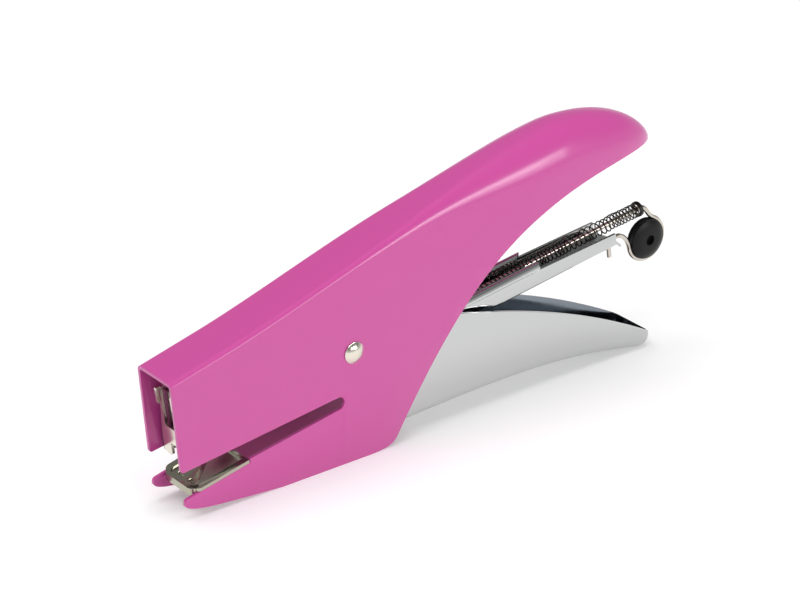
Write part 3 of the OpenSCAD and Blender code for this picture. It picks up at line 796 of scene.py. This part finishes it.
@dataclass(frozen=True)
class HandleForm:
    """Sizes and curves of the trough-shaped handle."""

    sheet: float = 0.8
    half: float = 7.65
    end_half: float = 8.35
    flare_x: float = 25.0
    reach: float = 112.3
    depth: float = 27.4
    edge_r: float = 2.6
    corner_r: float = 2.6
    pivot_h: float = 33.7

    def half_width(self, x: np.ndarray, t: float) -> np.ndarray:
        """Half the handle's width.

        Args:
            x: Where to read it.
            t: Depth under the outer skin.

        Returns:
            The half widths.
        """
        flare = (self.end_half - self.half) / (self.reach - self.flare_x)
        w = self.half + flare * np.clip(x - self.flare_x, 0.0, None) - t
        r, past = self.corner_r - t, np.clip(x - self.reach + self.corner_r, 0.0, None)
        return w - r + np.sqrt(np.clip(r * r - past * past, 0.01, None))

    def floor(self) -> np.ndarray:
        """The underside's line over the middle, and up the end wall.

        Returns:
            Points in x and z.
        """
        foot = [self.reach - 5.3, -self.pivot_h + 0.5]
        arch = cubic([22, -self.depth - 1.2], [58, -self.depth + 0.2], [78, -self.depth + 0.8], foot, 56)
        wall = cubic(foot, [foot[0] + 2.5, foot[1] - 0.57], [self.reach - 0.1, -self.pivot_h + 0.8],
                     [self.reach, -self.pivot_h + 4.6], 28)[1:]
        start = np.stack([np.linspace(-12, 20, 12), np.full(12, -self.depth - 1.2)], 1)
        return np.concatenate([start, arch, wall, [[self.reach + 0.02, -self.pivot_h + 7]]])

    def skin(self, t: float, top: float, steps: int = 14) -> np.ndarray:
        """Rings of the trough's skin, open above.

        Args:
            t: Depth under the outer skin.
            top: Height of the rings' upper end.
            steps: Steps round each lower edge.

        Returns:
            Rings of points.
        """
        line = beside(self.floor(), t) if t else self.floor()
        x, z = line[:, :1], line[:, 1:]
        w = self.half_width(x, t)
        r = np.minimum(w - 0.05, max(0.3, self.edge_r - t))
        a = np.radians(np.linspace(0, 90, steps + 1))
        y = -(w - r) - r * np.cos(a)
        down = z + r - r * np.sin(a)
        half = np.stack([np.concatenate([-w, y], 1),
                         np.concatenate([np.full_like(x, top), down], 1)], -1)
        return hoops(x, half)[:, ::-1]

    def side_view(self) -> np.ndarray:
        """Closed outline of the handle from the side.

        Returns:
            Points in x and z.
        """
        return np.concatenate([
            arc([0, 0], 6.0, 200, 90, 20),
            cubic([12, 5.4], [50, -2.5], [78, -10], [self.reach - 1.5, -self.pivot_h + 5.4], 56),
            [[self.reach + 1, -self.pivot_h + 4.2], [self.reach + 1, -self.pivot_h - 4],
             [24, -self.pivot_h - 4], [20, -self.depth - 2.2]],
        ])


class Handle(Assembly):
    """The chromed handle and the parts that it drives."""

    form: HandleForm

    def build(self) -> None:
        """Makes the handle and finishes the solids that move with it."""
        form, maker = self.form, self.maker
        outer = maker.loft("lower_handle_fine", form.skin(0.0, 14))
        # The trough's inside faces get the darker chrome: painted shade inside the handle.
        maker.carve(outer, maker.loft("hollow", form.skin(form.sheet, 18)), lining=CHROME_PAINTED_SHADE)
        maker.carve(outer, maker.prism("view", form.side_view(), ACROSS, -12, 12), "INTERSECT")
        maker.soften(outer, 0.14, 50)
        maker.dress(outer, CHROME, "lever", "lower_handle", 40)
        for node, finish in {"driver_arm": NICKEL, "arm_rivets": NICKEL, "driver_blade": BLADE,
                             "driver_pin": DARK, "pivot_bush": NICKEL, "return_spring": SPRING}.items():
            maker.finish_solid(node, finish, 0.1)


# ---------------- magazine


@dataclass(frozen=True)
class RailForm:
    """Sizes of the magazine, in rail coordinates."""

    width: float = 10.8
    sheet: float = 0.8
    low: float = -11.5
    height: float = 7.2
    rear_height: float = 4.1
    rolled_reach: float = 70.0
    reach: float = 98.9
    slot_w: float = 5.0
    scoop_r: float = 4.4
    mouth_reach: float = 4.5
    mouth_half: float = 4.6
    prong_inner: float = 3.1
    prong_outer: float = 4.2
    prong_top: float = 9.2
    nose_reach: float = 54.9
    nose_sheet: float = 0.8
    nose_w: float = 10.8
    roll_rise: float = 2.7
    wire_r: float = 0.75
    wire_h: float = 4.7
    knob_x: float = 114.6
    knob_z: float = -17.6
    knob_r: float = 6.2
    knob_t: float = 4.6
    stop_x: float = 113.0
    collar_t: float = 1.4
    collar_turns: float = 2.6
    collar_r: float = 1.95
    spring_x: float = -42.3
    spring_r: float = 2.03
    spring_wire_r: float = 0.21
    travel: float = 40.0

    @property
    def roll_z(self) -> float:
        """Height where the rolled edges' arch starts."""
        return self.low + self.height - self.sheet / 2 - self.roll_rise

    @property
    def open_z(self) -> float:
        """Top of the open walls just behind the rolled edges."""
        return self.low + self.rear_height + 1.0

    @property
    def wire_z(self) -> float:
        """Height of the feeder wire's centre line."""
        return self.low + self.wire_h

    def section(self, rolled: bool) -> np.ndarray:
        """Closed outline of the rail's cross section.

        Args:
            rolled: Whether the edges are rolled in.

        Returns:
            Points in y and z.
        """
        w = (self.width - self.sheet) / 2
        inner = self.slot_w / 2 + self.sheet / 2
        mid = (w + inner) / 2
        a = np.radians(np.linspace(180, 0, 17))
        roll = np.stack([mid + (w - mid) * np.cos(a), self.roll_z + self.roll_rise * np.sin(a)], 1)
        top = [[w, self.roll_z - 0.6]] if rolled else [[w, self.low + self.height]]
        corner = arc([w - 0.6, self.low + self.sheet / 2 + 0.6], 0.6, 0, -90, 6)
        half = np.concatenate([roll, top, corner] if rolled else [top, corner])
        return ribbon(mirrored(half), self.sheet)


class Magazine(Assembly):
    """The rail, the nose plate and the bracket that carries them."""

    form: RailForm

    def build(self) -> None:
        """Makes the rail and the nose plate and finishes the bracket."""
        self._rail()
        self._nose()
        self.maker.finish_solid("pivot_bracket", NICKEL, 0.1)
        self.maker.finish_solid("nose_rivets", NICKEL, 0.05)

    def _rail(self) -> None:
        """Makes the rail with its rolled edges, low rear walls and turned-down tongue."""
        form, maker = self.form, self.maker
        front = -form.nose_reach + form.nose_sheet
        rail = maker.prism("magazine_rail_fine", form.section(True), ALONG, front, form.rolled_reach, True)
        ends = circle([form.rolled_reach + 1.6, 0], form.scoop_r, 64)
        maker.carve(rail, maker.prism("ends", ends, UP, form.open_z, form.low + form.height + 5, True))
        mouth = rectangle(front - 1, front + form.mouth_reach, -form.mouth_half, form.mouth_half)
        maker.carve(rail, maker.prism("mouth", mouth, UP, form.low - 1, form.low + form.height + 1, True))
        rear = maker.prism("rear", form.section(False), ALONG, form.rolled_reach - 0.3, form.reach, True)
        fall = np.array([[form.rolled_reach - 2, form.open_z], [form.reach + 1, form.low + form.rear_height],
                         [form.reach + 1, 0], [form.rolled_reach - 2, 0]])
        maker.carve(rear, maker.prism("fall", fall, ACROSS, -8, 8, True))
        maker.carve(rail, rear, "UNION")
        mid = form.low + form.sheet / 2
        bend = np.concatenate([[[form.reach - 0.6, mid]], arc([form.reach, mid - 3], 3, 90, 48, 8),
                               [[form.reach + 4.6, mid - 3.7]]])
        maker.carve(rail, maker.prism("tongue", ribbon(bend, form.sheet), ACROSS, -1.8, 1.8, True), "UNION")
        slot = rectangle(form.reach - 2.85, form.reach + 6, -4.55, -2.45)
        maker.carve(rail, maker.prism("slot", slot, UP, form.low - 1, form.low + 2.2, True))
        maker.soften(rail, 0.1, 40)
        maker.dress(rail, CHROME, "magazine", "magazine_rail", 35)

    def _nose(self) -> None:
        """Makes the nose plate with its prongs, folded ends, window, arch and side lugs."""
        form, maker = self.form, self.maker
        x0, t, low, w = -form.nose_reach, form.nose_sheet, form.low, form.nose_w / 2
        inner, outer, top = form.prong_inner, form.prong_outer, form.prong_top
        shape = mirrored(np.concatenate([[[-outer, top], [-outer, 2.5], [-w, -5.5]],
                                         arc([1.6 - w, low + 1.6], 1.6, 180, 270, 12)]))
        plate = maker.prism("nose_plate_fine", shape, ALONG, x0, x0 + t, True)
        window = mirrored(np.concatenate([[[-inner, top + 3]], arc([0.6 - inner, -1.6], 0.6, 180, 270, 8)]))
        arch = mirrored(np.concatenate([[[-2.8, low - 1], [-2.8, low]],
                                        arc([-2.8, low + 0.9], 0.9, -90, 0, 8),
                                        arc([-1.2, -8.1], 0.7, 180, 90, 8)]))
        for hole in (window, arch):
            maker.carve(plate, maker.prism("gap", hole, ALONG, x0 - 1, x0 + t + 1, True))
        fold = np.concatenate([[[x0 + t / 2, top - 0.4]], arc([x0 + t / 2 - 0.55, top], 0.55, 0, 180, 16),
                               [[x0 + t / 2 - 1.1, top - 4.0]]])
        for s in (-1, 1):
            y0, y1 = sorted((s * inner, s * outer))
            maker.carve(plate, maker.prism("fold", ribbon(fold, 0.6), ACROSS, y0, y1, True), "UNION")
            side = form.width / 2
            for back, y in ((t, w - 0.2), (7.0, side)):
                y0, y1 = sorted((s * y, s * (side + 0.6)))
                lug = rectangle(x0, x0 + back, low + 0.4, low + 5.4)
                maker.carve(plate, maker.prism("lug", lug, ACROSS, y0, y1, True), "UNION")
        maker.soften(plate, 0.12, 40)
        maker.dress(plate, NICKEL, "magazine", "nose_plate", 40)


class Feeder(Assembly):
    """The feeder wire, its knob, the long spring and the pusher."""

    form: RailForm
    turns_seed = 7

    def build(self) -> None:
        """Makes the wire, the knob, the collar and the spring."""
        self._wire()
        self._knob()
        self._collar()
        self._spring()
        self.maker.finish_solid("staple_pusher", DARK, 0.1)
        self.maker.finish_solid("rod_cap", NICKEL, 0.05)

    def _wire(self) -> None:
        """Makes the rod, the loop round the knob and the tail in one wire."""
        form = self.form
        x, z, r = form.knob_x, form.knob_z, form.knob_r - 0.35 + form.wire_r
        tail = [form.reach - 1.6, -3.5, form.low + form.sheet + form.wire_r + 0.35]
        rod = np.linspace([-50.3, 0, form.wire_z], [x - 1.3, 0, form.wire_z], 30)
        shoulder = [[x - 0.3, 0, form.wire_z - 0.3], [x + 0.7, 0, form.wire_z - 1.3],
                    [x + 1.7, 0, form.wire_z - 3.0], [x + 2.8, 0, form.wire_z - 4.5]]
        loop = np.insert(arc([x, z], r, 48, -176, 28), 1, 0.0, axis=1)
        back = cubic([x - r, 0, z - 0.5], [x - r - 1.2, tail[1] / 4, z + 3.4],
                     [tail[0] + 6, tail[1] * 0.8, tail[2]], [tail[0] + 2, tail[1], tail[2]], 10)[1:]
        bend = np.insert(arc([tail[0] + 1.2, tail[2] - 1.2], 1.2, 90, 180, 5), 1, tail[1], axis=1)
        end = [[tail[0], tail[1], form.low - 3.5]]
        bends = spline(np.concatenate([rod[-1:], shoulder, loop, back, bend, end]), 4)
        path = np.concatenate([rod, bends[1:]])
        side = np.repeat([[0.0, 1.0, 0.0]], len(path), 0) + np.array([[0.013, 0.0, 0.007]])
        wire = self.maker.tube("feeder_rod_fine", path, form.wire_r, side, 20)
        self.maker.dress(wire, WIRE, "feeder", "feeder_rod", 50)

    def _knob(self) -> None:
        """Makes the turned knob with its groove, raised hubs and blind holes."""
        form = self.form
        r, h = form.knob_r, form.knob_t / 2
        half = np.concatenate([
            [[0.0001, h - 1.4], [1.4, h - 1.4], [1.5, h - 1.3], [1.5, h - 0.15], [1.65, h]],
            cubic([1.95, h], [r - 3.0, h], [r - 1.4, h - 0.1], [r - 0.4, h - 0.9], 12),
            [[r - 0.12, form.wire_r + 0.55], [r, form.wire_r + 0.25], [r - 0.02, form.wire_r + 0.03],
             [r - 0.35, form.wire_r - 0.02]],
        ])
        profile = np.concatenate([half, half[::-1] * [1, -1]])
        knob = self.maker.lathe("feeder_knob_fine", profile, (form.knob_x, 0, form.knob_z), True)
        self.maker.dress(knob, BLACK, "feeder", "feeder_knob", 40)

    def _collar(self) -> None:
        """Makes the dark closed coils at the spring's rear end."""
        form = self.form
        x0, x1, radius = form.stop_x - form.collar_t, form.stop_x, form.collar_r
        a = np.linspace(0, 2 * math.pi * form.collar_turns, int(form.collar_turns * 40))
        path = np.stack([np.linspace(x0 + 0.35, x1 - 0.35, len(a)), radius * np.cos(a),
                         form.wire_z + radius * np.sin(a)], 1)
        side = np.stack([np.zeros(len(a)), np.cos(a), np.sin(a)], 1)
        collar = self.maker.tube("spring_stop_fine", path, 0.42, side, 10)
        self.maker.dress(collar, DARK, "feeder", "spring_stop", 60)

    def _spring(self) -> None:
        """Makes the long spring, whose turns bunch up towards its rear end."""
        form = self.form
        x0, x1 = form.spring_x, form.stop_x - form.collar_t - 0.3
        rng = np.random.default_rng(self.turns_seed)
        knots = np.array([x0, 66.0, 84.0, 88.0, 92.0, 95.0, 99.0, 103.0, x1])
        pitch = np.array([1.9, 1.6, 1.35, 1.8, 2.3, 2.1, 1.6, 1.15, 0.95])
        x = np.linspace(x0, x1, 4000)
        wave = 1 + 0.24 * np.interp(x, np.linspace(x0, x1, 60), rng.standard_normal(60).clip(-1.6, 1.6))
        turns = np.concatenate([[0], np.cumsum(np.diff(x) / (np.interp(x, knots, pitch) * wave)[1:])])
        count = int(turns[-1] * 22)
        a = np.linspace(0, turns[-1], count)
        along = np.interp(a, turns, x)
        angle = 2 * math.pi * a
        sway = np.interp(along, np.linspace(x0, x1, 80), 0.12 * rng.standard_normal(80).clip(-1.5, 1.5))
        radius = form.spring_r + 0.03 * np.sin(angle * 0.37)
        path = np.stack([along, radius * np.cos(angle) + sway * 0.6,
                         form.wire_z + radius * np.sin(angle) + sway * 0.5], 1)
        side = np.stack([np.zeros(count), np.cos(angle), np.sin(angle)], 1)
        coil = self.maker.tube("magazine_spring_fine", path, form.spring_wire_r, side, 7)
        self.maker.dress(coil, SPRING, "feeder", "magazine_spring", 70)
        place = self.maker.place
        anchor = place.rail(np.array([x1, 0, form.wire_z]))
        axis = place.rail(np.array([1.0, 0, 0])) - place.rail(np.zeros(3))
        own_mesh(coil)


# ---------------- studio


@dataclass(frozen=True)
class Softbox:
    """A rectangular light that points at the object, and may be left out of mirror images."""

    name: str
    direction: tuple[float, float, float]
    distance_m: float
    size_m: tuple[float, float]
    watts: float
    mirrored: bool = True


@dataclass(frozen=True)
class Studio:
    """The floor, the lights, the sky and the camera."""

    target_m: tuple[float, float, float] = (-0.0088, 0.0, 0.0391)
    azimuth: float = -38.3
    elevation: float = 26.2
    distance_m: float = 0.8352
    lens_mm: float = 135.0
    floor_m: float = 6.0
    sky_light: float = 0.26
    horizon_light: float = 0.58
    boxes: tuple[Softbox, ...] = (
        Softbox("key", (0.47, -0.85, 0.3), 1.1, (0.34, 0.34), 1.4),
        Softbox("strip", (0.2, -0.9, 0.37), 1.15, (0.85, 0.2), 3.0),
        Softbox("top", (-0.2, 0.1, 0.95), 1.1, (1.2, 1.2), 12.2, mirrored=False),
    )

    def build(self) -> None:
        """Makes everything round the object."""
        self._floor()
        self._sky()
        self._lights()
        self._camera()
        self._colours()

    def _floor(self) -> None:
        """Makes the pale floor."""
        half = self.floor_m / 2
        data = bpy.data.meshes.new("studio_floor")
        outline = np.insert(rectangle(-half, half, -half, half), 2, 0, axis=1)
        data.from_pydata(outline.tolist(), [], [(0, 1, 2, 3)])
        floor = bpy.data.objects.new("studio_floor", data)
        bpy.context.scene.collection.objects.link(floor)
        material = bpy.data.materials.new("floor_paper")
        material.use_nodes = True
        nodes = NodeTree(material.node_tree)
        shader = nodes.add("ShaderNodeBsdfPrincipled", in_Base__Color=srgb("#ECECEC"), in_Roughness=0.9,
                           in_Emission__Color=WHITE, in_Emission__Strength=0.24, in_Specular__IOR__Level=0.1)
        nodes.add("ShaderNodeOutputMaterial", {"Surface": shader.outputs["BSDF"]})
        floor.data.materials.append(material)
        log.info("floor %.1f m square", self.floor_m)

    def _sky(self) -> None:
        """Makes a dim sky over a bright horizon, which the camera itself sees as plain white."""
        world = bpy.data.worlds.new("studio_sky")
        bpy.context.scene.world = world
        world.use_nodes = True
        nodes = NodeTree(world.node_tree)
        direction = nodes.add("ShaderNodeTexCoord").outputs["Generated"]
        height = nodes.add("ShaderNodeSeparateXYZ", {"Vector": direction}).outputs["Z"]
        level = nodes.add("ShaderNodeMapRange", {"Value": height}, interpolation_type="SMOOTHSTEP",
                          in_From__Min=0.12, in_From__Max=0.3, in_To__Min=self.horizon_light,
                          in_To__Max=self.sky_light)
        soft = nodes.add("ShaderNodeBackground", {"Strength": level.outputs["Result"]}, in_Color=WHITE)
        plain = nodes.add("ShaderNodeBackground", in_Color=WHITE, in_Strength=1.0)
        path = nodes.add("ShaderNodeLightPath")
        mix = nodes.add("ShaderNodeMixShader", {"Fac": path.outputs["Is Camera Ray"]})
        nodes.tree.links.new(soft.outputs["Background"], mix.inputs[1])
        nodes.tree.links.new(plain.outputs["Background"], mix.inputs[2])
        nodes.add("ShaderNodeOutputWorld", {"Surface": mix.outputs["Shader"]})

    def _aim(self, name: str, data: bpy.types.ID, away: Vector, distance_m: float) -> bpy.types.Object:
        """Adds a light or a camera that points at the target.

        Args:
            name: Name of the new object.
            data: The light or the camera.
            away: Direction from the target, of length 1.
            distance_m: Distance from the target.

        Returns:
            The new object.
        """
        thing = bpy.data.objects.new(name, data)
        bpy.context.scene.collection.objects.link(thing)
        thing.location = Vector(self.target_m) + away * distance_m
        thing.rotation_euler = away.to_track_quat("Z", "Y").to_euler()
        return thing

    def _lights(self) -> None:
        """Hangs the softboxes."""
        for box in self.boxes:
            data = bpy.data.lights.new(box.name, "AREA")
            data.shape, data.size, data.size_y = "RECTANGLE", *box.size_m
            data.energy = box.watts
            lamp = self._aim(f"light_{box.name}", data, Vector(box.direction).normalized(), box.distance_m)
            lamp.visible_glossy = box.mirrored
            log.info("light %s: %.1f W", box.name, box.watts)

    def _camera(self) -> None:
        """Sets the camera in front of the jaws' left side."""
        a, e = math.radians(self.azimuth), math.radians(self.elevation)
        back = Vector((math.sin(a) * math.cos(e), -math.cos(a) * math.cos(e), math.sin(e)))
        data = bpy.data.cameras.new("camera")
        data.lens, data.sensor_width = self.lens_mm, 36.0
        data.clip_start, data.clip_end = 0.01, 20.0
        bpy.context.scene.camera = self._aim("camera", data, back, self.distance_m)

    def _colours(self) -> None:
        """Sets plain colour handling, and how far light is followed between the bright sheets."""
        scene = bpy.context.scene
        scene.view_settings.view_transform = "Standard"
        scene.cycles.max_bounces = 10
        scene.cycles.sample_clamp_indirect = 6.0


# ---------------- the object


class Stapler:
    """The whole object, one sub-assembly after another."""

    def __init__(self) -> None:
        """Makes the shared maker and the sub-assemblies."""
        maker = Maker(Placement.from_rivet(), Palette())
        shell, rail = ShellForm(), RailForm()
        self.parts = (Shell(maker, shell), Anvil(maker, shell), Handle(maker, HandleForm()),
                      Magazine(maker, rail), Feeder(maker, rail))

    def build(self) -> None:
        """Builds every sub-assembly."""
        for part in self.parts:
            part.build()
            log.info("%s built", type(part).__name__)


def main() -> None:
    """Builds the scene."""
    logging.basicConfig(level=logging.INFO, format="%(name)s: %(message)s")
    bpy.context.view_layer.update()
    Stapler().build()
    Studio().build()


if __name__ == "__main__":
    main()
